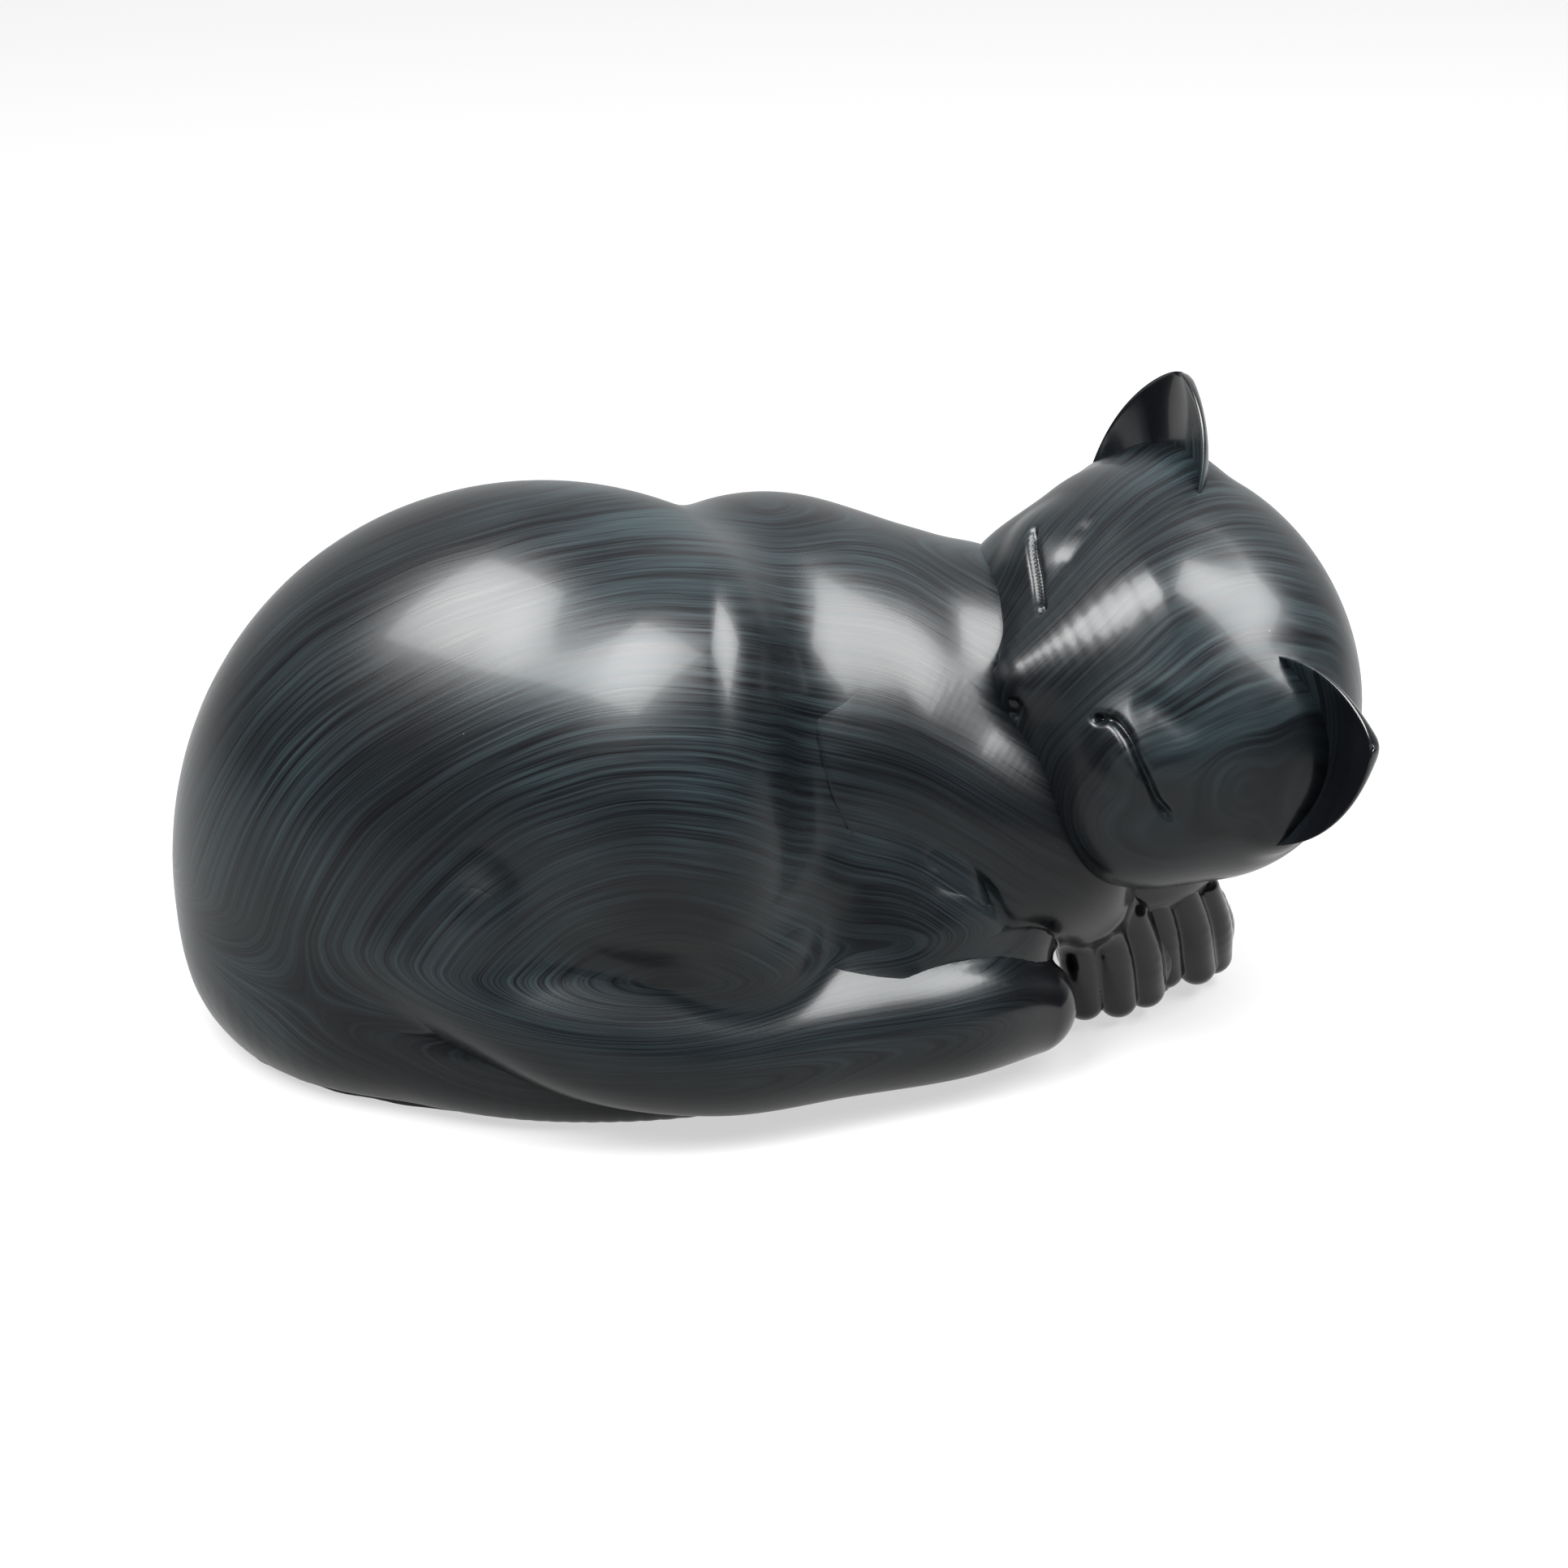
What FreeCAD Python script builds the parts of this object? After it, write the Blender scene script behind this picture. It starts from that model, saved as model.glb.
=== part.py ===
import FreeCAD, Part
import os
import re
import Sketcher
from FreeCAD import Vector

# A sleeping cat in glazed ceramic, curled on its side with its chin on its forepaws.
# It is modelled as the potter builds it: a hollow body and a hollow head, cast apart and
# luted together with slip, then the solid-cast ears, limbs and tail stuck on to them.
# Frame: origin in the middle of the footprint, on the surface the cat rests on.
# +X runs from the rump to the head, +Y to the cat's spine side, +Z up. Millimetres, degrees.

SIZES = {
    # castings
    "wall": 4.5,
    "felt_thickness": 1.0,
    "vent_diameter": 12,
    "neck_opening": 18,
    "neck_share": 0.8,
    # body
    "body_mid_x": -36,
    "body_mid_y": 0,
    "body_mid_z": 28,
    "body_half_length": 74,
    "body_half_depth": 50,
    "body_half_height": 78,
    # shoulder, placed from the front end of the body
    "shoulder_setback": 31,
    "shoulder_offset_y": 13,
    "shoulder_top": 99,
    "shoulder_half_length": 37,
    "shoulder_half_depth": 39.5,
    "shoulder_half_height": 38,
    # chest and nape, placed from the shoulder
    "chest_forward": 19,
    "chest_offset_y": -10,
    "chest_mid_z": 35,
    "chest_half_length": 34,
    "chest_half_depth": 31,
    "chest_half_height": 44,
    "nape_forward": 41,
    "nape_offset_y": 10,
    "nape_mid_z": 33,
    "nape_half_length": 40,
    "nape_half_depth": 26,
    "nape_half_height": 41,
    # thigh of the upper hind leg, placed from the front end of the body
    "haunch_setback": 67,
    "haunch_offset_y": -27,
    "haunch_mid_z": 48,
    "haunch_half_length": 42,
    "haunch_half_depth": 31.3,
    "haunch_half_height": 42,
    # head, placed from the shoulder; its own frame has +X at the nose and +Z at the crown
    "head_forward": 72,
    "head_offset_y": -3,
    "head_mid_z": 67,
    "head_yaw": -148,
    "head_pitch": -8.7,
    "head_roll": -34.8,
    "skull_half_length": 35.8,
    "skull_half_width": 41.8,
    "skull_half_height": 34.8,
    "face_forward": 10,
    "face_drop": 4,
    "face_half_length": 26,
    "face_half_width": 35,
    "face_half_height": 25,
    "muzzle_half_length": 16,
    "muzzle_half_width": 14,
    "muzzle_half_height": 12,
    "muzzle_proud": 4,
    # ears, placed on the skull
    "ear_side": 27,
    "ear_sink": 8,
    "ear_splay": 32,
    "ear_height": 26,
    "ear_half_width": 17,
    "ear_half_thickness": 8,
    "ear_shell": 3.5,
    # right foreleg, placed from the shoulder
    "upper_arm_forward": 27,
    "upper_arm_offset_y": -21,
    "upper_arm_mid_z": 52,
    "upper_arm_half_length": 34,
    "upper_arm_half_width": 20,
    "upper_arm_pitch": 38,
    "forearm_forward": 53,
    "forearm_offset_y": -19,
    "forearm_mid_z": 30,
    "forearm_half_length": 24,
    "forearm_half_width": 13,
    "forearm_pitch": 52,
    # forepaws, placed from the shoulder
    "right_paw_forward": 66,
    "right_paw_offset_y": -14,
    "left_paw_forward": 80,
    "left_paw_offset_y": 2,
    "paw_mid_z": 12,
    "paw_half_length": 15,
    "paw_half_width": 10,
    "paw_half_height": 12,
    "paw_yaw": 25,
    "toe_half_length": 8,
    "toe_half_width": 3.4,
    "toe_half_height": 6,
    "toe_spacing": 5,
    # right hind leg: knee and shank placed from the haunch, foot from the shoulder
    "shank_forward": 13,
    "shank_offset_y": -6,
    "shank_mid_z": 19,
    "shank_half_length": 43,
    "shank_half_width": 17,
    "knee_forward": 34,
    "knee_offset_y": -2,
    "knee_mid_z": 38,
    "knee_half_width": 17,
    "foot_forward": 21,
    "foot_offset_y": -37,
    "foot_mid_z": 15,
    "foot_half_length": 37,
    "foot_half_width": 12.5,
    "foot_yaw": 20,
    # tail, laid round the front of the body from its root at the rump
    "tail_root_half_width": 12,
    "tail_tip_half_width": 4,
    "tail_mid_z": 9,
    "tail_outset": 1,
    # felt, set in from the edge of the base
    "felt_inset": 8,
}

# Four toes either side of a paw's middle line, in toe spacings.
TOES = (-1.5, -0.5, 0.5, 1.5)
# Where the tail's rings stand round the base, in degrees from +X.
TAIL_ANGLES = (176, 202, 228, 254, 280, 302)
# An ear's rings: height and width as shares of the whole ear's.
EAR_RINGS = ((0, 1), (0.35, 0.95), (0.7, 0.62), (1, 0.12))
# The least half width and half thickness of a ring, where an ear's walls meet at its tip.
LEAST_HALF_WIDTH, LEAST_HALF_THICKNESS = 0.5, 0.4
# Sketcher's numbers for the origin, a point on its own and a shape's centre.
ORIGIN, VERTEX, CENTRE = -1, 1, 3

doc = FreeCAD.newDocument("SleepingCat")
sheet = doc.addObject("Spreadsheet::Sheet", "Sizes")
for row, (alias, size) in enumerate(SIZES.items(), start=1):
    sheet.set(f"A{row}", alias)
    sheet.set(f"B{row}", str(size))
    sheet.setAlias(f"B{row}", alias)
doc.recompute()


def formula(text):
    """Write the sheet's name in front of every alias in a formula."""
    return re.sub(r"[a-z]\w*", lambda word: f"Sizes.{word[0]}" if word[0] in SIZES else word[0], text)


def bind(item, **sizes):
    """Bind properties of an object to formulas in the sheet's aliases."""
    for name, text in sizes.items():
        item.setExpression(name, formula(text))
    return item


def pose(at, turn=("0", "0", "0")):
    """A placement formula: a position, then yaw, pitch and roll in degrees."""
    position = f"create(<<vector>>; {at[0]}; {at[1]}; {at[2]})"
    rotation = f"create(<<rotation>>; {turn[0]}; {turn[1]}; {turn[2]})"
    return f"create(<<placement>>; {position}; {rotation})"


def ellipsoid(name, at, radii, turn=("0", "0", "0")):
    """A solid ellipsoid with semi-axes along X, Y and Z."""
    item = doc.addObject("Part::Ellipsoid", name)
    return bind(item, Radius2=radii[0], Radius3=radii[1], Radius1=radii[2], Placement=pose(at, turn))


def chain(kind, name, base, tools):
    """Apply a two-solid operation with each tool in turn; the last step carries the name."""
    for number, tool in enumerate(tools, start=1):
        item = doc.addObject(kind, name if number == len(tools) else f"{name}_{number}")
        item.Base = base
        item.Tool = tool
        base = item
    return item


def fuse(name, base, *others):
    """One solid from several that run into each other."""
    return chain("Part::Fuse", name, base, others)


def cut(name, base, *tools):
    """A solid less each of the tools."""
    return chain("Part::Cut", name, base, tools)


def loft(name, sections):
    """A smooth solid through closed curves."""
    item = doc.addObject("Part::Loft", name)
    item.Sections = sections
    item.Solid = True
    return item


# Places that several pieces share, as formulas.
SHOULDER_X = "body_mid_x + body_half_length - shoulder_setback"
SHOULDER_Y = "body_mid_y + shoulder_offset_y"
HAUNCH_X = "body_mid_x + body_half_length - haunch_setback"
HAUNCH_Y = "body_mid_y + haunch_offset_y"
HEAD = (f"{SHOULDER_X} + head_forward", f"{SHOULDER_Y} + head_offset_y", "head_mid_z")
HEAD_TURN = ("head_yaw", "head_pitch", "head_roll")
# The body's section where it meets the felt, as a share of its widest one.
BASE_SHARE = "sqrt(1 - ((body_mid_z - felt_thickness) / body_half_height) ^ 2)"
BASE_HALF_LENGTH = f"body_half_length * {BASE_SHARE}"
BASE_HALF_DEPTH = f"body_half_depth * {BASE_SHARE}"


def from_shoulder(piece):
    """The middle of a piece that is placed from the shoulder."""
    return (f"{SHOULDER_X} + {piece}_forward", f"{SHOULDER_Y} + {piece}_offset_y", f"{piece}_mid_z")


def from_haunch(piece):
    """The middle of a piece that is placed from the haunch."""
    return (f"{HAUNCH_X} + {piece}_forward", f"{HAUNCH_Y} + {piece}_offset_y", f"{piece}_mid_z")


def space_below(name, height):
    """A block that fills all the space below a height."""
    item = doc.addObject("Part::Box", name)
    reach = "2 * (body_half_length + head_forward)"
    bind(item, Length=f"2 * {reach}", Width=f"2 * {reach}", Height=reach)
    return bind(item, Placement=pose((f"-{reach}", f"-{reach}", f"{height} - {reach}")))


def body_masses(name, skin):
    """The body's rounded masses in one solid, with a skin's thickness taken off all over."""
    places = {
        "body": ("body_mid_x", "body_mid_y", "body_mid_z"),
        "haunch": (HAUNCH_X, HAUNCH_Y, "haunch_mid_z"),
        "shoulder": (SHOULDER_X, SHOULDER_Y, "shoulder_top - shoulder_half_height"),
        "chest": from_shoulder("chest"),
        "nape": from_shoulder("nape"),
    }
    masses = []
    for piece, at in places.items():
        radii = [f"{piece}_half_{way} - {skin}" for way in ("length", "depth", "height")]
        masses.append(ellipsoid(f"{name}_{piece}", at, radii))
    return fuse(name, *masses)


def body_shell(outside, below):
    """The body's hollow casting, with a flat floor, a vent and an opening into the head."""
    floor = space_below("cavity_floor", "felt_thickness + wall")
    cavity = cut("body_cavity", body_masses("body_inside", "wall"), floor)
    vent = doc.addObject("Part::Cylinder", "vent")
    bind(vent, Radius="vent_diameter / 2", Height="felt_thickness + 3 * wall")
    bind(vent, Placement=pose(("body_mid_x", "body_mid_y", "0")))
    nape = from_shoulder("nape")
    opening_at = [f"({start}) + neck_share * (({end}) - ({start}))" for start, end in zip(nape, HEAD)]
    half_opening = "neck_opening / 2"
    opening = ellipsoid("neck_hole", opening_at, (half_opening, half_opening, half_opening))
    return cut("body_shell", outside, below, cavity, vent, opening)


def head_masses():
    """The skull, the face and the muzzle in one solid, in the head's own frame."""
    skull_radii = ("skull_half_length", "skull_half_width", "skull_half_height")
    skull = ellipsoid("skull", ("0", "0", "0"), skull_radii)
    face_radii = ("face_half_length", "face_half_width", "face_half_height")
    face = ellipsoid("face", ("face_forward", "0", "-face_drop"), face_radii)
    muzzle_x = "face_forward + face_half_length + muzzle_proud - muzzle_half_length"
    muzzle_radii = ("muzzle_half_length", "muzzle_half_width", "muzzle_half_height")
    muzzle = ellipsoid("muzzle", (muzzle_x, "0", "-face_drop"), muzzle_radii)
    head = fuse("head_outside", skull, face, muzzle)
    return bind(head, Placement=pose(HEAD, HEAD_TURN))


def head_shell(outside, body, below):
    """The head's hollow casting, trimmed to sit on the body's neck."""
    radii = [f"skull_half_{way} - wall" for way in ("length", "width", "height")]
    cavity = ellipsoid("head_cavity", HEAD, radii, HEAD_TURN)
    return cut("head_shell", outside, body, cavity, below)


def ear(side, name, head):
    """A hooded ear: a tapering horn with a smaller one taken out of its front."""
    horns = {}
    for horn, shell, forward in (("outer", "0", "0"), ("inner", "ear_shell", "ear_half_thickness")):
        rings = []
        for step, (height, width) in enumerate(EAR_RINGS):
            ring = doc.addObject("Part::Ellipse", f"{name}_{horn}_{step}")
            major = f"max({width} * ear_half_width - {shell}; {LEAST_HALF_WIDTH})"
            minor = f"max({width} * ear_half_thickness - {shell} / 2; {LEAST_HALF_THICKNESS})"
            bind(ring, MajorRadius=major, MinorRadius=minor)
            bind(ring, Placement=pose((forward, "0", f"{height} * (ear_height - {shell})"), ("90", "0", "0")))
            rings.append(ring)
        horns[horn] = loft(f"{name}_{horn}", rings)
    horn = cut(f"{name}_horn", horns["outer"], horns["inner"])
    skull_rise = "skull_half_height * sqrt(1 - (ear_side / skull_half_width) ^ 2)"
    on_head = pose(("0", f"{side} * ear_side", f"{skull_rise} - ear_sink"), ("0", "0", f"{-side} * ear_splay"))
    bind(horn, Placement=f"{pose(HEAD, HEAD_TURN)} * {on_head}")
    return cut(name, horn, head)


def paw(name, at):
    """A forepaw: a rounded pad with four toes side by side at its front."""
    turn = ("paw_yaw", "0", "0")
    pad = ellipsoid(f"{name}_pad", at, ("paw_half_length", "paw_half_width", "paw_half_height"), turn)
    toe_x = "paw_half_length - toe_half_length / 2"
    toe_z = "toe_half_height - paw_mid_z + felt_thickness"
    toe_radii = ("toe_half_length", "toe_half_width", "toe_half_height")
    toes = []
    for number, offset in enumerate(TOES, start=1):
        toe_at = (toe_x, f"{offset} * toe_spacing", toe_z)
        toes.append(ellipsoid(f"{name}_toe_{number}", toe_at, toe_radii))
    row = bind(fuse(f"{name}_toes", *toes), Placement=pose(at, turn))
    return fuse(f"{name}_outside", pad, row)


def foreleg():
    """The right foreleg: upper arm, forearm and paw, folded down to the floor."""
    arm = []
    for piece in ("upper_arm", "forearm"):
        radii = (f"{piece}_half_length", f"{piece}_half_width", f"{piece}_half_width")
        arm.append(ellipsoid(piece, from_shoulder(piece), radii, ("paw_yaw / 3", f"{piece}_pitch", "0")))
    return fuse("foreleg_outside", *arm, paw("right_paw", paw_place("right_paw")))


def paw_place(name):
    """The middle of a forepaw."""
    return (f"{SHOULDER_X} + {name}_forward", f"{SHOULDER_Y} + {name}_offset_y", "paw_mid_z")


def hind_leg():
    """The right hind leg below the thigh: knee, shank and foot."""
    shank_radii = ("shank_half_length", "shank_half_width", "shank_mid_z")
    knee_radii = ("knee_half_width", "knee_half_width", "knee_half_width")
    foot_radii = ("foot_half_length", "foot_half_width", "foot_mid_z")
    return fuse(
        "hind_leg_outside",
        ellipsoid("shank", from_haunch("shank"), shank_radii),
        ellipsoid("knee", from_haunch("knee"), knee_radii),
        ellipsoid("foot", from_shoulder("foot"), foot_radii, ("foot_yaw", "0", "0")),
    )


def tail():
    """The tail: rings stood on an ellipse round the base, from the rump to the hind foot."""
    rings = []
    for step, angle in enumerate(TAIL_ANGLES):
        share = step / (len(TAIL_ANGLES) - 1)
        radius = f"tail_root_half_width + {share} * (tail_tip_half_width - tail_root_half_width)"
        x = f"body_mid_x + ({BASE_HALF_LENGTH} + tail_outset - tail_root_half_width) * cos({angle} deg)"
        y = f"body_mid_y + ({BASE_HALF_DEPTH} + tail_outset) * sin({angle} deg)"
        ring = doc.addObject("Part::Circle", f"tail_ring_{step + 1}")
        along_the_ellipse = (f"{angle + 90}", "90", "0")
        bind(ring, Radius=radius, Placement=pose((x, y, "tail_mid_z"), along_the_ellipse))
        rings.append(ring)
    return loft("tail_outside", rings)


def origin_plane(body, role):
    """One of a body's own origin planes."""
    return next(plane for plane in body.Origin.OriginFeatures if plane.Role == role)


def name_size(sketch, size, text, constraint):
    """Add a constraint to a sketch, name it and bind its value to a formula."""
    sketch.renameConstraint(sketch.addConstraint(constraint), size)
    sketch.setExpression(f"Constraints.{size}", formula(text))


def felt_pad():
    """The felt under the base: an ellipse inside the base's edge, with a hole at the vent."""
    body = doc.addObject("PartDesign::Body", "felt_pad")
    sketch = body.newObject("Sketcher::SketchObject", "felt_outline")
    sketch.AttachmentSupport = [(origin_plane(body, "XY_Plane"), "")]
    sketch.MapMode = "FlatFace"
    # The shapes go in at rough sizes, and the constraints take them to the sheet's.
    middle = Vector(0, 0, 0)
    edge = sketch.addGeometry(Part.Ellipse(Vector(50, 0, 0), Vector(0, 30, 0), middle))
    sketch.exposeInternalGeometry(edge)
    long_axis, short_axis = edge + 1, edge + 2
    hole = sketch.addGeometry(Part.Circle(middle, Vector(0, 0, 1), 5))
    for shape in (edge, hole):
        sketch.addConstraint(Sketcher.Constraint("Coincident", shape, CENTRE, ORIGIN, VERTEX))
    sketch.addConstraint(Sketcher.Constraint("Horizontal", long_axis))
    length = f"2 * ({BASE_HALF_LENGTH} - felt_inset)"
    depth = f"2 * ({BASE_HALF_DEPTH} - felt_inset)"
    name_size(sketch, "felt_length", length, Sketcher.Constraint("Distance", long_axis, 100))
    name_size(sketch, "felt_depth", depth, Sketcher.Constraint("Distance", short_axis, 60))
    name_size(sketch, "hole_radius", "vent_diameter / 2", Sketcher.Constraint("Radius", hole, 5))
    pad = body.newObject("PartDesign::Pad", "felt_sheet")
    pad.Profile = sketch
    bind(pad, Length="felt_thickness")
    return bind(body, Placement=pose(("body_mid_x", "body_mid_y", "0")))


def build():
    """Make every piece, each trimmed by those it was stuck on to."""
    below = space_below("bench", "felt_thickness")
    body = body_masses("body_outside", "0")
    head = head_masses()
    right_arm = foreleg()
    left_paw = paw("left_paw", paw_place("left_paw"))
    leg = hind_leg()
    return [
        body_shell(body, below),
        head_shell(head, body, below),
        ear(1, "left_ear", head),
        ear(-1, "right_ear", head),
        cut("right_foreleg", right_arm, body, head, below),
        cut("left_forepaw", left_paw, body, head, right_arm, below),
        cut("right_hind_leg", leg, body, right_arm, below),
        cut("tail", tail(), body, leg, right_arm, below),
        felt_pad(),
    ]


pieces = build()
doc.recompute()
for item in doc.Objects:
    if "Invalid" in item.State or "Error" in item.State:
        raise RuntimeError(f"{item.Name} failed: {item.State}")
for piece in pieces:
    if piece.Shape.isNull() or not piece.Shape.isValid():
        raise RuntimeError(f"{piece.Label} has no valid shape")

os.makedirs("parts", exist_ok=True)
for piece in pieces:
    piece.Shape.exportStep(f"parts/{piece.Label}.step")
    box = piece.Shape.optimalBoundingBox()
    print(
        f"{piece.Label:16} {len(piece.Shape.Solids)} solid, {piece.Shape.Volume / 1000:7.1f} cm3,"
        f" X {box.XMin:7.2f} {box.XMax:7.2f}  Y {box.YMin:7.2f} {box.YMax:7.2f}  Z {box.ZMin:7.2f} {box.ZMax:7.2f}"
    )
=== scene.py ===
import math
import bpy
import numpy as np
from bpy.props import FloatProperty, FloatVectorProperty, PointerProperty
from mathutils import Euler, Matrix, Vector


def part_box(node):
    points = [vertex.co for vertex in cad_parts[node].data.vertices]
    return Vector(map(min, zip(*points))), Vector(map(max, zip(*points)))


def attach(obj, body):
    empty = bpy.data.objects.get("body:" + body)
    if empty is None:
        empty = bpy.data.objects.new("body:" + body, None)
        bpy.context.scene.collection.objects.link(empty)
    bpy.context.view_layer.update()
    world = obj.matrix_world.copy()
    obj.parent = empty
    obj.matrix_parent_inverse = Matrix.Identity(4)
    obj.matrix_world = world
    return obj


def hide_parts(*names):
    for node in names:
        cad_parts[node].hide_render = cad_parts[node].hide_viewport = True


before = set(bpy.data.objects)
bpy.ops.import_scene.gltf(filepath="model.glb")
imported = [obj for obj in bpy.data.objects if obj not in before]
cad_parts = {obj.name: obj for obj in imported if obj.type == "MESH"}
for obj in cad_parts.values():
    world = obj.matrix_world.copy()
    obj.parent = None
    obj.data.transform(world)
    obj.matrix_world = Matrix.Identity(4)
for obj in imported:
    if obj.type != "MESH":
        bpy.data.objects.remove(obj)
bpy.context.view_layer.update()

bl_info = {
    "name": "Sleeping cat in streaked black glaze",
    "version": (1, 0, 0),
    "blender": (4, 5, 0),
    "location": "View3D > Sidebar > Cat",
    "description": "Models the glazed figure piece by piece over its castings",
    "category": "Add Mesh",
}

# Clay is worked in millimetres in the figure's own frame, and fired into metres.
MM = 0.001


def middle_mm(node):
    """The middle of a casting's box, in millimetres."""
    low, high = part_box(node)
    return np.array((low + high) / 2) / MM


def foot_mm(node):
    """The middle of the underside of a casting's box, in millimetres."""
    low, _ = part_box(node)
    x, y, _ = middle_mm(node)
    return np.array((x, y, low.z / MM))


# Where the figure's origin lies from the middle of the body casting's underside, and the
# head's from the middle of the head casting.
FIGURE_OFFSET = (19, -4.1, 0)
HEAD_OFFSET = (0.5, -0.2, -0.4)
FIGURE = foot_mm("body_shell") + FIGURE_OFFSET
HEAD = middle_mm("head_shell") + HEAD_OFFSET - FIGURE
HEAD_TURN = (math.radians(-34.8), math.radians(-8.7), math.radians(-148))
F32 = np.float32
# How near a roll of clay its exact distance is worked out.
REACH = 14.0


# ---------------------------------------------------------------- clay
# A shape is a function that gives every point's distance to the surface: negative inside.

def ball(points, middle, radii, below=None, behind=None):
    """Ellipsoid: |q| (|q| - 1) / |q / r|, where q is the offset over the radii; below is the
    vertical radius of its lower half, and behind the lengthwise radius of its rear half."""
    offset = points - np.asarray(middle, F32)
    radii = np.broadcast_to(np.asarray(radii, F32), offset.shape).copy()
    if below is not None:
        radii[:, 2] = np.where(offset[:, 2] < 0, below, radii[:, 2])
    if behind is not None:
        radii[:, 0] = np.where(offset[:, 0] < 0, behind, radii[:, 0])
    size = np.sqrt(((offset / radii) ** 2).sum(-1))
    slope = np.sqrt(((offset / radii ** 2) ** 2).sum(-1))
    return size * (size - 1) / np.maximum(slope, F32(1e-6))


def smooth_path(knots, steps=6):
    """Catmull-Rom curve through rows of knots: a cubic between each pair, whose slope at a
    knot is half the step from the knot before it to the knot after it."""
    knots = np.asarray(knots, float)
    ends = np.vstack([2 * knots[0] - knots[1], knots, 2 * knots[-1] - knots[-2]])
    share = np.linspace(0, 1, steps, endpoint=False)[:, None]
    before, start, end, after = (ends[i:len(ends) - 3 + i, None, :] for i in range(4))
    spans = 0.5 * (
        2 * start
        + (end - before) * share
        + (2 * before - 5 * start + 4 * end - after) * share ** 2
        + (3 * start - before - 3 * end + after) * share ** 3
    )
    return np.vstack([spans.reshape(-1, knots.shape[1]), knots[-1:]])


def limb(points, knots, radii, steps=5):
    """Tapered roll of clay: the least over the path's spans of the distance to the span less
    the radius there. Beyond REACH of the roll's box, the distance to the box stands for it."""
    path = smooth_path(np.column_stack([knots, radii]), steps).astype(F32)
    low, high = path[:, :3].min(0) - path[:, 3].max(), path[:, :3].max(0) + path[:, 3].max()
    outside = np.maximum(np.maximum(low - points, points - high), 0)
    gap = np.sqrt((outside ** 2).sum(-1))
    close = gap < REACH
    near = points[close]
    nearest = np.full(len(near), np.inf, F32)
    for start, end in zip(path[:-1], path[1:]):
        along = end[:3] - start[:3]
        offset = near - start[:3]
        share = np.clip(offset @ along / (along @ along), 0, 1)
        across = np.sqrt(((offset - share[:, None] * along) ** 2).sum(-1))
        nearest = np.minimum(nearest, across - start[3] - (end[3] - start[3]) * share)
    gap[close] = nearest
    return gap


def melt(one, other, softness):
    """Union with a fillet: the lesser of two distances, eased where they differ by less than
    the softness."""
    share = np.clip(0.5 + 0.5 * (other - one) / softness, 0, 1)
    return other + (one - other) * share - softness * share * (1 - share)


def scoop(one, tool, softness):
    """One shape less another, with a rounded edge."""
    return -melt(-one, tool, softness)


def ramp(values, start, end):
    """0 before start, 1 after end, eased between."""
    share = np.clip((values - start) / (end - start), 0, 1)
    return share * share * (3 - 2 * share)


def turned(points, turn):
    """Points in the axes of a form that has been turned by an Euler angle, about the origin."""
    return points @ np.array(Euler(turn).to_matrix(), F32)


# ---------------------------------------------------------------- the figure's forms

def trunk(points):
    """Back, thigh, shoulder, chest and nape in one rounded mass."""
    along_spine = turned(points - np.array((-42, 8, 27), F32), (0, 0, math.radians(-9)))
    back = ball(along_spine, (0, 0, 0), (72, 48, 79), below=50, behind=74.5)
    thigh = ball(points, (-13.5, -11, 49), (20, 38, 52), below=28, behind=50)
    shoulder = ball(points, (-5, 20, 60), (37, 37, 38.5))
    chest = ball(points, (16, 10, 34), (34, 28, 40))
    nape = limb(points, [(4, 22, 56), (34, 24, 53), (62, 26, 34)], [34, 33, 25])
    belly = limb(points, [(2, -10, 28), (22, -11, 26), (38, -6, 22)], [17, 15.5, 12], 8)
    front = melt(melt(melt(shoulder, chest, 10), nape, 12), belly, 10)
    return melt(melt(back, front, 5), thigh, 7)


def arm(points):
    """The right foreleg from the shoulder to the wrist, and the elbow tucked in above the
    hind foot."""
    limb_down = limb(
        points,
        [(1, 8, 60), (19, 5, 56), (36, 1, 47), (48, 0, 38), (55, 2, 28)],
        [26, 24, 20.5, 16, 10.5],
        16,
    )
    elbow = ball(points, (22, -11, 32), (20, 13.5, 13))
    return melt(limb_down, elbow, 8)


def forepaw(points, palm, knuckles, tips):
    """A paw: the palm, and four toes side by side that curl down to the base."""
    paw = ball(points, palm, (9.5, 8, 10.5))
    for knuckle, tip in zip(np.asarray(knuckles, float), np.asarray(tips, float)):
        bend = 0.45 * knuckle + 0.55 * tip + (0.4, -0.9, 0.6)
        paw = melt(paw, limb(points, [knuckle, bend, tip], [3.2, 4.0, 3.8], 4), 0.9)
    return paw


def right_forepaw(points):
    """The near paw, its toes hanging down over the edge of the base."""
    knuckles = [(53.5, 1, 24.5), (59.5, 1.5, 24), (65.5, 4, 22), (69.5, 9, 18)]
    tips = [(57, 2, 5), (63.5, 4, 4.5), (69, 8, 4.5), (71, 13, 4.5)]
    return forepaw(points, (61, 9, 14), knuckles, tips)


def left_forepaw(points):
    """The far paw, under the chin."""
    knuckles = [(68.5, 8.5, 27), (74.5, 11, 26), (80, 15.5, 22), (82, 21, 16.5)]
    tips = [(73, 13, 6), (79.5, 16.5, 5), (83, 21, 5), (83.5, 27, 4.5)]
    return forepaw(points, (74, 22, 13), knuckles, tips)


def foreleg(points):
    """The right foreleg with its paw."""
    return melt(arm(points), right_forepaw(points), 3)


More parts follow.
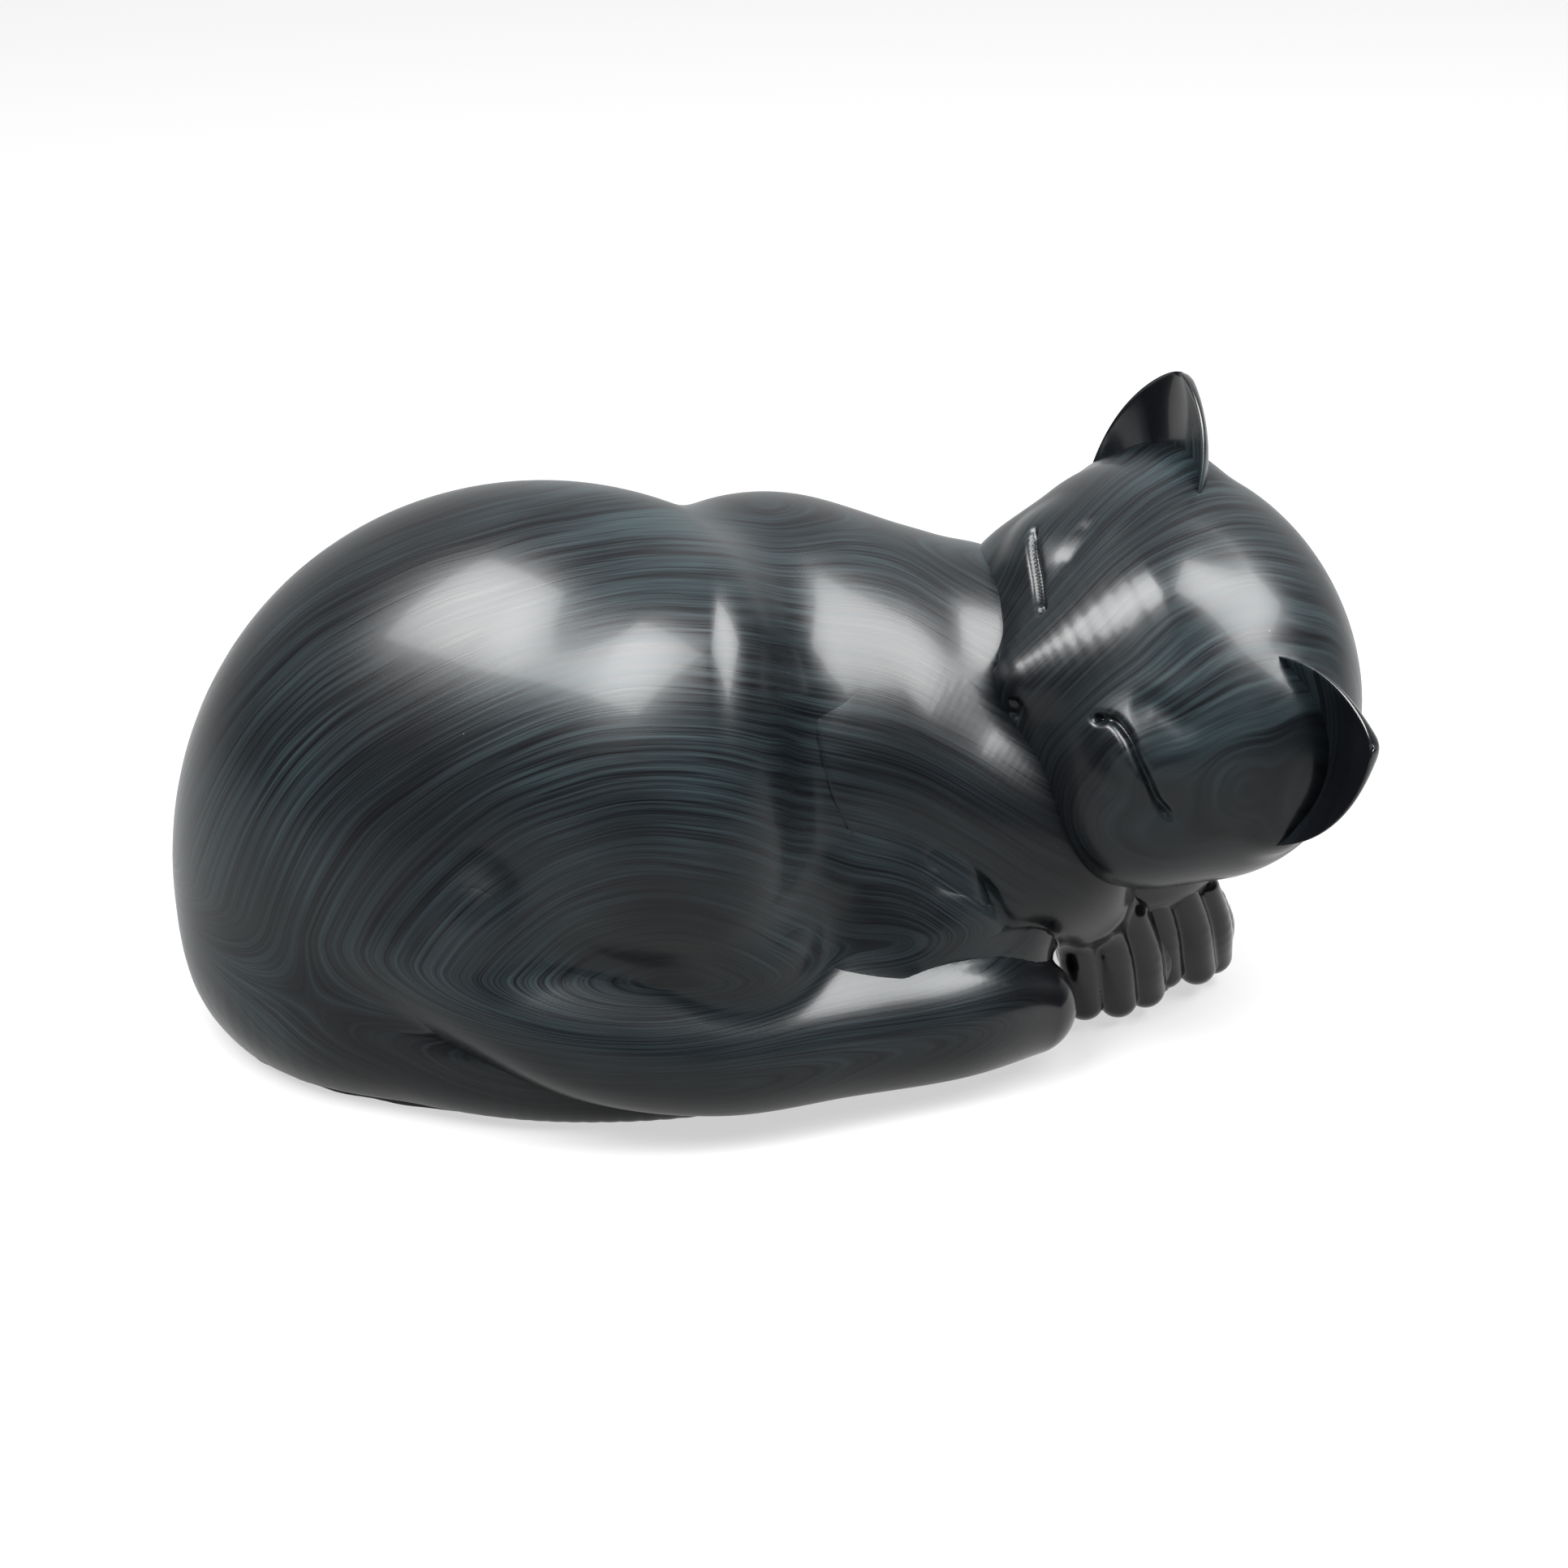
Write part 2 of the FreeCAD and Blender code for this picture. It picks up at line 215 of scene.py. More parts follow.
def hind_leg(points):
    """The right hind leg below the thigh: knee, shank, heel and foot."""
    shank = limb(
        points,
        [
            (-66, -27, 31), (-52, -34.8, 26), (-34, -37.5, 20), (-12, -35.7, 16.5),
            (10, -27, 15.5), (30, -18.5, 14.5), (45, -12, 11.5),
        ],
        [8, 10.5, 13, 13.5, 13.5, 13.5, 9.5],
        16,
    )
    knee = ball(points, (-8, -32, 34), (13, 12, 10))
    heel = ball(points, (-52, -33, 41), (9, 8.5, 9))
    return melt(melt(shank, knee, 6), heel, 10)


def tail(points):
    """The tail laid round the base, tapering under the foot."""
    return limb(
        points,
        [
            (-88, 28, 11), (-97, 10, 11.5), (-93, -5, 11.5), (-83, -15, 11.5), (-68, -22, 11.5),
            (-52, -27, 11), (-38, -29.5, 9.5), (-22, -30, 7.5), (-4, -27, 5), (16, -21, 2.5),
        ],
        [12, 12.5, 12.5, 12.8, 13.2, 13.4, 12, 9.5, 6.5, 3],
    )


def head_frame(points):
    """Points in the head's own frame: +X at the nose, +Y at the left ear, +Z at the crown."""
    return turned(points - HEAD.astype(F32), HEAD_TURN)


def from_head(places):
    """Places in the head's own frame, back in the figure's."""
    return np.asarray(places, float) @ np.array(Euler(HEAD_TURN).to_matrix()).T + HEAD


# The roll of slip at the foot of an ear, in the head's frame on the side of +Y.
EAR_FOOT = [(2, 17, 23), (-3, 25, 23), (-5, 33, 17), (-2, 38, 8)]


def head(points):
    """Skull, crown, cheeks, muzzle and chin, with closed eyelids and rolls where the ears
    are luted on."""
    q = head_frame(points)
    mass = ball(q, (0, 0, 0), (33, 40, 32))
    mass = melt(mass, ball(q, (-1.5, -1, 3.5), (31.5, 41, 31.5)), 6)
    mass = melt(mass, ball(q, (10, 0, -4), (25, 33, 24)), 8)
    bridge = limb(q, [(12, 0, 20), (25, 0, 10), (33, 0, 3.5)], [12, 8.5, 6.5])
    mass = melt(mass, bridge, 6)
    mass = melt(mass, ball(q, (27, 0, -8), (11.5, 13, 9.5)), 6)
    side = q.copy()
    side[:, 1] = np.abs(side[:, 1])
    mass = melt(mass, ball(side, (15, 23, -7), (15, 14, 14)), 8)
    mass = melt(mass, ball(side, (18.5, 20, 9.5), (10.5, 11, 8.5)), 4)
    mass = melt(mass, limb(side, EAR_FOOT, [5, 6.5, 6.5, 5]), 5)
    snout_face = q @ np.array((0.92, 0, -0.39), F32) - 36.5
    return scoop(mass, -snout_face, 1.5)


FORMS = {
    "body_shell": trunk,
    "right_foreleg": foreleg,
    "left_forepaw": left_forepaw,
    "right_hind_leg": hind_leg,
    "tail": tail,
    "head_shell": head,
}


def arm_fillet(points):
    """Full where the upper arm lies in the chest, a crease by the paw."""
    return 11 - 9.5 * ramp(points[:, 0], 22, 44)


def leg_fillet(points):
    """Full at the shank, a crease along the foot."""
    return 7 - 5.6 * ramp(points[:, 0], 14, 40)


def tail_fillet(points):
    """Full at the root, a crease along the rest."""
    return 1.2 + 10 * ramp(-points[:, 0], 56, 92)


# Which forms share flesh, and how widely each pair melts together.
MEETINGS = {
    "body_shell": {"right_foreleg": arm_fillet, "right_hind_leg": leg_fillet, "tail": tail_fillet},
    "right_foreleg": {"body_shell": arm_fillet},
    "right_hind_leg": {"body_shell": leg_fillet},
    "tail": {"body_shell": tail_fillet},
}


def casting(name, lap=6.0):
    """One form melted to those it shares flesh with. Past the line where a neighbour is as near,
    the skin sinks gently under the neighbour's where they melt widely, and keeps its own shape
    where they meet in a crease. It ends a lap's depth inside."""
    def field(points):
        own = FORMS[name](points)
        skin, sunk, deepest = own, 0, np.full(len(points), -np.inf, F32)
        for other, fillet in MEETINGS.get(name, {}).items():
            near, size = FORMS[other](points), fillet(points)
            past = own - near
            skin = melt(skin, near, size)
            sunk = sunk + (1 - 0.9 * ramp(size, 1.5, 6)) * np.maximum(past, 0)
            deepest = np.maximum(deepest, past)
        skin = np.maximum(skin + sunk, deepest - lap)
        return scoop(skin, points[:, 2], 1.5)
    return field


# ---------------------------------------------------------------- skins

def reach_surface(field, starts, directions, reach):
    """How far each ray runs inside a form: halve the interval that holds the surface, then
    close in with secants."""
    low = np.zeros(len(starts), F32)
    high = np.full(len(starts), reach, F32)
    for _ in range(9):
        half = (low + high) / 2
        inside = field(starts + half[:, None] * directions) < 0
        low = np.where(inside, half, low)
        high = np.where(inside, high, half)
    low_value = field(starts + low[:, None] * directions)
    high_value = field(starts + high[:, None] * directions)
    for _ in range(3):
        share = low_value / np.where(np.abs(low_value - high_value) < 1e-6, -1, low_value - high_value)
        half = low + np.clip(share, 0.02, 0.98) * (high - low)
        value = field(starts + half[:, None] * directions)
        inside = value < 0
        low, low_value = np.where(inside, half, low), np.where(inside, value, low_value)
        high, high_value = np.where(inside, high, half), np.where(inside, high_value, value)
    return (low + high) / 2


def grid_faces(rows, columns):
    """Quads of a grid that closes round its columns, with a point at each end of its rows."""
    index = np.arange(rows * columns).reshape(rows, columns)
    after = np.roll(index, -1, 1)
    quads = np.stack([index[:-1], after[:-1], after[1:], index[1:]], -1).reshape(-1, 4)
    first, last = rows * columns, rows * columns + 1
    start = np.stack([np.full(columns, first), after[0], index[0]], -1)
    end = np.stack([np.full(columns, last), index[-1], after[-1]], -1)
    return quads.tolist() + start.tolist() + end.tolist()


def skin_round(field, centre, rows, columns, reach, focus=None, gather=0.0, turn=None):
    """Rays from one centre: row i is a latitude and column j a longitude. focus gathers the
    columns about a longitude, gather the rows about the upper pole, and turn is a matrix that
    lays the poles elsewhere."""
    longitude = np.linspace(0, 2 * np.pi, columns, endpoint=False)
    if focus is not None:
        longitude = focus + longitude - 0.55 * np.sin(longitude)
    share = np.linspace(0, 1, rows + 2)[1:-1, None]
    latitude = np.pi * (share + gather * share * (1 - share)) - np.pi / 2
    directions = np.stack(
        [
            np.cos(latitude) * np.cos(longitude),
            np.cos(latitude) * np.sin(longitude),
            np.sin(latitude) * np.ones_like(longitude),
        ],
        -1,
    ).reshape(-1, 3)
    directions = np.vstack([directions, [(0, 0, -1), (0, 0, 1)]])
    if turn is not None:
        directions = directions @ turn.T
    directions = directions.astype(F32)
    starts = np.broadcast_to(np.asarray(centre, F32), directions.shape)
    reached = reach_surface(field, starts, directions, reach)
    return starts + reached[:, None] * directions, grid_faces(rows, columns)


def skin_long(field, knots, rows, columns, reach):
    """Rays from a path: row i stands square to the path, and leans out along it by up to a
    right angle in a fan at either end; column j is the angle round it."""
    fan = rows // 6
    path = smooth_path(knots, 24)
    lengths = np.concatenate([[0], np.cumsum(np.linalg.norm(np.diff(path, axis=0), axis=1))])
    between = np.linspace(0, lengths[-1], rows - 2 * fan)
    stations = np.concatenate([np.zeros(fan), between, np.full(fan, lengths[-1])])
    starts = np.stack([np.interp(stations, lengths, path[:, axis]) for axis in range(3)], -1)
    slopes = np.gradient(path, lengths, axis=0)
    along = np.stack([np.interp(stations, lengths, slopes[:, axis]) for axis in range(3)], -1)
    along /= np.linalg.norm(along, axis=1, keepdims=True)
    sideways = np.cross((0, 0, 1), along)
    sideways /= np.linalg.norm(sideways, axis=1, keepdims=True)
    upward = np.cross(along, sideways)
    lean = np.zeros(rows)
    opening = np.linspace(np.pi / 2, 0, fan + 2)[1:-1]
    lean[:fan] = -opening
    lean[rows - fan:] = opening[::-1]
    angle = np.linspace(0, 2 * np.pi, columns, endpoint=False)[:, None]
    round_it = np.cos(angle) * sideways[:, None] + np.sin(angle) * upward[:, None]
    directions = np.cos(lean)[:, None, None] * round_it + np.sin(lean)[:, None, None] * along[:, None]
    starts = np.repeat(starts, columns, axis=0)
    directions = np.vstack([directions.reshape(-1, 3), -along[:1], along[-1:]]).astype(F32)
    starts = np.vstack([starts, starts[:1], starts[-1:]]).astype(F32)
    reached = reach_surface(field, starts, directions, reach)
    return starts + reached[:, None] * directions, grid_faces(rows, columns)


def path_gap(points, path):
    """Distance from each point to a path, and how far along the path the nearest place is,
    from 0 to 1."""
    lengths = np.concatenate([[0], np.cumsum(np.linalg.norm(np.diff(path, axis=0), axis=1))])
    nearest = np.full(len(points), np.inf)
    station = np.zeros(len(points))
    for start, end, before, after in zip(path[:-1], path[1:], lengths[:-1], lengths[1:]):
        along = end - start
        offset = points - start
        share = np.clip(offset @ along / (along @ along), 0, 1)
        gap = np.linalg.norm(offset - share[:, None] * along, axis=1)
        closer = gap < nearest
        nearest = np.where(closer, gap, nearest)
        station = np.where(closer, before + share * (after - before), station)
    return nearest, station / lengths[-1]


def draw_tool(mesh, knots, width, depth, taper=0.25, hook=0.0):
    """Draw a modelling tool over a mesh: sink the skin along a path by
    depth * exp(-(gap / width)^2), easing in over the taper's share of the path at either end.
    A negative depth raises a welt. hook deepens the start of the path."""
    count = len(mesh.vertices)
    points, normals = np.empty(count * 3, F32), np.empty(count * 3, F32)
    mesh.vertices.foreach_get("co", points)
    mesh.vertices.foreach_get("normal", normals)
    points, normals = points.reshape(-1, 3) / MM - FIGURE, normals.reshape(-1, 3)
    knots = np.asarray(knots, float)
    knots = np.array([points[np.argmin(((points - knot) ** 2).sum(-1))] for knot in knots])
    path = smooth_path(knots, 6)
    low, high = path.min(0) - 3 * width, path.max(0) + 3 * width
    touched = np.nonzero(((points > low) & (points < high)).all(-1))[0]
    gap, station = path_gap(points[touched], path)
    ease = ramp(station, -0.02, taper) * ramp(1 - station, -0.02, taper)
    ease = np.maximum(ease, hook * ramp(1 - station, 1 - taper, 1.0))
    sink = depth * ease * np.exp(-((gap / width) ** 2))
    points[touched] -= sink[:, None] * normals[touched]
    mesh.vertices.foreach_set("co", ((points + FIGURE) * MM).astype(F32).ravel())
    mesh.update()


def fire(name, points, faces, attributes=None, strokes=()):
    """Make a piece's mesh from figure-frame millimetres, smooth all over, with the tool drawn
    along each stroke."""
    mesh = bpy.data.meshes.new(name)
    mesh.from_pydata(((points + FIGURE) * MM).tolist(), [], faces)
    mesh.polygons.foreach_set("use_smooth", np.ones(len(mesh.polygons), bool))
    for label, values in (attributes or {}).items():
        mesh.attributes.new(label, "FLOAT", "POINT").data.foreach_set("value", values.astype(F32))
    mesh.update()
    for stroke in strokes:
        draw_tool(mesh, *stroke)
    piece = bpy.data.objects.new(name, mesh)
    bpy.context.scene.collection.objects.link(piece)
    return piece


# ---------------------------------------------------------------- strokes of brush and tool

def brush_over_body(points):
    """The glaze brush's lines on the body, as level sets in millimetres: arcs round the haunch
    behind, slanting across the arm in front, and lengthwise along the foot and tail. The part
    in y, turned back behind the spine, keeps them crossing faces that look up."""
    x, y, z = points.T
    over_back = 0.55 * -np.hypot(y - 22, 9)
    arcs = np.hypot(0.9 * (x + 20), z - 16) + over_back
    slant = 0.5 * x + 0.85 * z - 12 + over_back
    low = 0.75 * z - 0.8 * y
    front = ramp(x, -4, 26)
    flat = ramp(-z, -34, -14)
    return (arcs * (1 - front) + slant * front) * (1 - flat) + low * flat


def brush_over_head(points):
    """Lines from the nose over the crown, closing towards the nose."""
    x, y, z = head_frame(points.astype(F32)).T
    return 32 * np.arctan2(y, 24 + 0.55 * np.hypot(x - 40, z)) + 0.35 * z


def plainness(points):
    """0 where the glaze is brushed in lines, 1 where it runs plain and glossy: the paws, the
    foot's tip and the ears."""
    x, y, z = points.T
    _, aside, up = head_frame(points.astype(F32)).T
    paws = ramp(x, 42, 60) * ramp(-z, -42, -24)
    foot = ramp(x, 30, 50) * ramp(-z, -34, -20)
    ears = ramp(np.abs(aside) + 0.5 * up, 44, 52)
    return np.clip(np.maximum(np.maximum(paws, foot) * (z < 60), ears * (x > 40) * (z > 45)), 0, 1)


# Each stroke is a path, the tool's width and its depth, then draw_tool's taper and hook.
TOOL_STROKES = {
    "body_shell": [
        ([(-1, -20, 77), (2.8, -22, 64), (5, -24, 50.5), (6.4, -26, 43)], 8.0, 1.0),
    ],
    "right_hind_leg": [
        ([(40, -12, 23.5), (47, -11, 19), (52.5, -9, 10)], 1.3, 0.5),
        ([(34, -16, 6), (41, -15, 6.9), (47.6, -13, 7), (52, -10, 8.5)], 1.1, 0.5),
    ],
    "right_foreleg": [
        ([(25, -18, 40.5), (30, -17, 40), (34.4, -16, 37.6), (38.5, -12, 31.5)], 1.3, 1.3),
        ([(24, -18, 47), (31, -17, 43.5), (36.5, -14, 37), (39.5, -11, 31)], 1.8, 1.4),
    ],
}

LEFT_EYE = [
    (30.5, 15.2, 12.2), (28.9, 17.3, 13.9), (27.7, 21, 14.3), (26.8, 25, 13),
    (25, 28.4, 11), (22.8, 31, 8.4), (20.6, 33, 6.6), (18.6, 34.6, 5.8),
]
RIGHT_EYE = [
    (32, -8.6, 13.4), (30.5, -12, 13), (29.2, -16, 13.2),
    (28.3, -19.5, 13.7), (26.5, -23.5, 14), (25, -26, 14),
]
# Brows, closed eyes, nostrils, lip and mouth, in the head's frame.
FACE_STROKES = [
    ([(27, 16.5, 17.5), (23.5, 19, 20), (20.5, 22.5, 20.5), (17.5, 26, 19.5)], 2.4, 0.6),
    ([(28, -13, 17), (24.5, -15.5, 20), (21.5, -18.5, 21.5), (19, -22, 21)], 2.4, 0.6),
    (LEFT_EYE, 0.75, 1.9, 0.15, 1.3),
    (RIGHT_EYE, 0.75, 1.8, 0.15, 1.2),
    ([(38.9, 3.5, 3.2), (38.6, 5.6, 2.2), (38, 6.2, 0.5), (37.5, 4.6, -0.8)], 0.8, 0.9),
    ([(38.9, -3.5, 3.2), (38.6, -5.6, 2.2), (38, -6.2, 0.5), (37.5, -4.6, -0.8)], 0.8, 0.9),
    ([(37.5, 0, -1), (37, 0, -5), (36, 0, -9)], 0.8, 0.8),
    ([(36.5, 0, -9), (36, 5, -9), (34, 10, -7.5)], 0.9, 0.8),
    ([(36.5, 0, -9), (36, -5, -9), (34, -10, -7.5)], 0.9, 0.8),
]


EAR_HALF_WIDTH = 17.5
EAR_CUP = 10.0


def ear_skin(side, thickness, rows, columns):
    """An ear: a crescent carried from the skull to the tip. v runs 0 to 1 from foot to tip and
    starts a quarter below. Half its width is W (1 - v^2.3)^0.72; the cup is deepest in the
    middle of the width and shallower towards the tip; the section is a rounded oblong."""
    foot = np.array((2.0, side * 28.5, 17.0))
    tip = np.array((-3.0, side * 42.5, 37.5))
    across = np.array((2.4, -side * 27.0, 21.0)) / 34.3
    rise = tip - foot
    face = np.cross(rise, across)
    face /= np.linalg.norm(face) * np.sign(face[0])
    v = np.linspace(-0.25, 1, rows)[:, None]
    angle = np.linspace(0, 2 * np.pi, columns, endpoint=False)[None, :]
    taper = np.clip(v, 0, 1)
    half_width = EAR_HALF_WIDTH * (1 - taper ** 2.3) ** 0.72 * np.ones_like(angle)
    cosine, sine = np.cos(angle), np.sin(angle)
    sideways = half_width * np.sign(cosine) * np.abs(cosine) ** 0.8
    share = sideways / np.maximum(half_width, 1e-6)
    cup = EAR_CUP * (1 - 0.75 * taper) * (half_width / EAR_HALF_WIDTH) ** 0.5
    wall = thickness * np.minimum(1, half_width / 3) ** 0.5
    depth = -cup * (1 - share ** 2) + wall / 2 * np.sign(sine) * np.abs(sine) ** 0.8
    local = foot + v[..., None] * rise + sideways[..., None] * across + depth[..., None] * face
    local = local.reshape(-1, 3)
    local = np.vstack([local, local[:columns].mean(0), local[-columns:].mean(0)])
    return from_head(local), grid_faces(rows, columns)


# Millimetres between the felt and the clay, and from the felt's edge to its CAD outline.
FELT_GAP = 0.05
FELT_TRIM = 0.4


def felt_skin(node, vent, rows, columns):
    """An oval felt pad with a round hole. A thin closed section is carried round: position is
    (1 - t) of the hole's circle and t of the pad's ellipse, out over the top and back under.
    The cut edge wavers a little, and the nap lifts the underside by hundredths of a millimetre."""
    low, high = (np.array(corner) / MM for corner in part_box(node))
    middle, half = (low + high) / 2, (high - low) / 2
    t = np.concatenate([np.linspace(0, 1, rows), np.linspace(1, 0, rows)])[:, None]
    height = np.concatenate([np.full(rows, high[2] - FELT_GAP), np.full(rows, low[2])])[:, None]
    angle = np.linspace(0, 2 * np.pi, columns, endpoint=False)[None, :]
    soft_edge = 0.35 * np.sin(23 * angle) * np.sin(7 * angle + 1) * t ** 8
    x = middle[0] + np.cos(angle) * ((1 - t) * vent + t * (half[0] - FELT_TRIM) + soft_edge)
    y = middle[1] + np.sin(angle) * ((1 - t) * vent + t * (half[1] - FELT_TRIM) + soft_edge)
    nap = 0.03 * np.sin(3.1 * x) * np.sin(2.7 * y)
    z = height + np.where(height > middle[2], 0, 0.04 + nap)
    points = np.stack([x, y, z], -1).reshape(-1, 3)
    index = np.arange(2 * rows * columns).reshape(2 * rows, columns)
    after, below = np.roll(index, -1, 1), np.roll(index, -1, 0)
    quads = np.stack([index, after, np.roll(below, -1, 1), below], -1)
    return points - FIGURE, quads[:, :, ::-1].reshape(-1, 4).tolist()


def grid(count):
    return int(count * (1))


# ---------------------------------------------------------------- glaze, felt and paper

class Socket:
    """One output of a node. Sums, differences and products of sockets and numbers add their
    Math nodes."""

    def __init__(self, shader, link):
        self.shader, self.link = shader, link

    def math(self, operation, *values):
        return self.shader.node("ShaderNodeMath", {"operation": operation}, dict(enumerate(values)))

    def __add__(self, other):
        return self.math("ADD", self, other)

    __radd__ = __add__

    def __sub__(self, other):
        return self.math("SUBTRACT", self, other)

    def __rsub__(self, other):
        return self.math("SUBTRACT", other, self)

    def __mul__(self, other):
        return self.math("MULTIPLY", self, other)

    __rmul__ = __mul__

    def __gt__(self, other):
        return self.math("GREATER_THAN", self, other)

    def __lt__(self, other):
        return self.math("LESS_THAN", self, other)

    def eased(self, start, end):
        """0 before start, 1 after end, eased between."""
        settings = {"interpolation_type": "SMOOTHSTEP"}
        sockets = {"Value": self, "From Min": start, "From Max": end}
        return self.shader.node("ShaderNodeMapRange", settings, sockets)


class Shader:
    """The nodes of a material, or of the world, under construction."""

    def __init__(self, owner):
        owner.use_nodes = True
        self.owner = owner
        self.tree = owner.node_tree
        self.tree.nodes.clear()

    def node(self, kind, settings=None, sockets=None, output=0):
        """Add a node: its settings first, then the values or links of its sockets."""
        node = self.tree.nodes.new(kind)
        for name, value in (settings or {}).items():
            setattr(node, name, value)
        for name, value in (sockets or {}).items():
            if isinstance(value, Socket):
                self.tree.links.new(value.link, node.inputs[name])
            else:
                node.inputs[name].default_value = value
        return Socket(self, node.outputs[output]) if len(node.outputs) else None

    def place(self):
        """Object coordinates, in metres."""
        return self.node("ShaderNodeTexCoord", output="Object")

    def scaled(self, vector, factor):
        return self.node("ShaderNodeVectorMath", {"operation": "SCALE"}, {0: vector, "Scale": factor})

    def shifted(self, vector, other):
        return self.node("ShaderNodeVectorMath", {"operation": "ADD"}, {0: vector, 1: other})

    def vector(self, x, y, z):
        return self.node("ShaderNodeCombineXYZ", {}, {0: x, 1: y, 2: z})

    def noise(self, vector, scale, detail=3.0, roughness=0.55):
        sockets = {"Vector": vector, "Scale": scale, "Detail": detail, "Roughness": roughness}
        return self.node("ShaderNodeTexNoise", {"noise_dimensions": "3D"}, sockets)

    def blend(self, share, one, other):
        """Colour one where the share is 0, the other where it is 1."""
        return self.node("ShaderNodeMix", {"data_type": "RGBA"}, {0: share, 6: one, 7: other}, output=2)

    def bump(self, height, strength, distance):
        sockets = {"Height": height, "Strength": strength, "Distance": distance}
        return self.node("ShaderNodeBump", {}, sockets)

    def finish(self, sockets):
        """End in the surface shader with these sockets."""
        surface = self.node("ShaderNodeBsdfPrincipled", {}, sockets)
        self.node("ShaderNodeOutputMaterial", {}, {"Surface": surface})
        return self.owner


def opaque(colour, factor=1.0):
    """A colour property as a socket's four numbers, made lighter or darker."""
    return (*(channel * factor for channel in colour), 1.0)


# A speck of dust's radius and the share of places without one, in Voronoi cells.
DUST_SIZE = 0.022
DUST_RARITY = 0.72
# How much light the floor gives off by itself, which keeps its shadows pale.
FLOOR_GLOW = 0.6


def black_glaze(name, look):
    """Near-black glaze brushed on in fine blue-grey lines, with a clear gloss over it, faint
    waviness and a few pale specks of dust. It runs plain and glossier where the plain
    attribute says."""
    shader = Shader(bpy.data.materials.new(name))
    place = shader.place()
    across = shader.node("ShaderNodeAttribute", {"attribute_name": "brush"}, output="Fac")
    plain = shader.node("ShaderNodeAttribute", {"attribute_name": "plain"}, output="Fac")
    streaks = 1.0 - 0.9 * plain
    across = across + shader.noise(place, 16.0, 2.0) * 9.0
    lines = []
    for along, over, detail in ((22.0, 0.8, 3.0), (34.0, 2.6, 2.0)):
        flow = shader.shifted(shader.scaled(place, along), shader.vector(0.0, 0.0, across * over))
        lines.append(shader.noise(flow, 1.0, detail, 0.6))
    broad, fine = lines
    patches = shader.noise(place, 22.0, 2.0).eased(0.32, 0.7)
    strands = fine.eased(0.38, 0.72) * 0.55 + broad.eased(0.36, 0.68) * 0.6
    mask = strands * (patches * 0.75 + 0.25) * streaks
    colour = shader.blend(mask, opaque(look.black), opaque(look.streak))
    hue = shader.noise(place, 14.0, 1.0).eased(0.4, 0.62) * 0.35
    colour = shader.blend(hue, colour, opaque(look.black_warm))
    cells = {"Vector": place, "Scale": 105.0, "Randomness": 1.0}
    distance = shader.node("ShaderNodeTexVoronoi", {}, cells, output="Distance")
    cell_colour = shader.node("ShaderNodeTexVoronoi", {}, cells, output="Color")
    chance = shader.node("ShaderNodeSeparateColor", {}, {0: cell_colour})
    dust = (distance < DUST_SIZE) * (chance > DUST_RARITY)
    colour = shader.blend(dust * look.dust_amount, colour, opaque(look.dust))
    grain = 0.20 * (fine - 0.5) + 0.14 * (broad - 0.5)
    roughness = look.roughness + grain * streaks - 0.10 * plain
    ripple = shader.noise(place, 190.0, 2.0)
    height = (fine * 0.5 + broad * 0.3) * streaks + ripple * 0.35 + dust * 2.0
    return shader.finish({
        "Base Color": colour,
        "Roughness": roughness,
        "Coat Weight": 0.04 + 0.3 * plain,
        "Coat Roughness": 0.09,
        "Specular IOR Level": 0.17,
        "Normal": shader.bump(height, 0.22, 0.00012),
    })


def felt_cloth(name, look):
    """Pressed wool felt: matted fibres in two shades, rough, with a fuzzy nap."""
    shader = Shader(bpy.data.materials.new(name))
    place = shader.place()
    mat = shader.noise(place, 900.0, 4.0, 0.7)
    tangle = shader.shifted(shader.scaled(place, 300.0), shader.vector(mat * 3.0, 0.0, 0.0))
    fibres = shader.noise(tangle, 1.0, 5.0, 0.7)
    shade = mat * 0.5 + fibres.eased(0.35, 0.7) * 0.5
    return shader.finish({
        "Base Color": shader.blend(shade, opaque(look.felt, 0.6), opaque(look.felt, 1.5)),
        "Roughness": 0.88 + 0.1 * fibres,
        "Normal": shader.bump(fibres + mat, 0.7, 0.0004),
    })


def paper(name, colour):
    """Matt studio paper with a barely visible tooth."""
    shader = Shader(bpy.data.materials.new(name))
    tooth = shader.noise(shader.place(), 450.0, 3.0)
    return shader.finish({
        "Base Color": shader.blend(tooth, opaque(colour, 0.985), opaque(colour)),
        "Roughness": 0.9,
        "Normal": shader.bump(tooth, 0.05, 0.0001),
        "Emission Color": opaque((1, 1, 1)),
        "Emission Strength": FLOOR_GLOW,
    })


# ---------------------------------------------------------------- what a user would change

def length_property(name, note, metres):
    """A property in metres."""
    return FloatProperty(name=name, description=note, default=metres, unit="LENGTH")


def share_property(name, note, part, most=1):
    """A property from nothing to the most it can be."""
    return FloatProperty(name=name, description=note, default=part, min=0, max=most)


def colour_property(name, note, values):
    """A colour property, linear."""
    return FloatVectorProperty(name=name, description=note, subtype="COLOR", default=values)


def power_property(name, note, watts):
    """A lamp's power."""
    return FloatProperty(name=name, description=note, default=watts, subtype="POWER")


class CatShape(bpy.types.PropertyGroup):
    """Sizes of the modelling."""

    lap: length_property("Lap", "How deep one casting's skin runs inside the next", 0.006)
    tool_depth: share_property("Tool depth", "Depth of the tooled lines, as a share", 1.0, 2)
    ear_thickness: length_property("Ear thickness", "Wall of the ears", 0.003)
    vent_radius: length_property("Vent radius", "Hole through the felt under the kiln vent", 0.007)


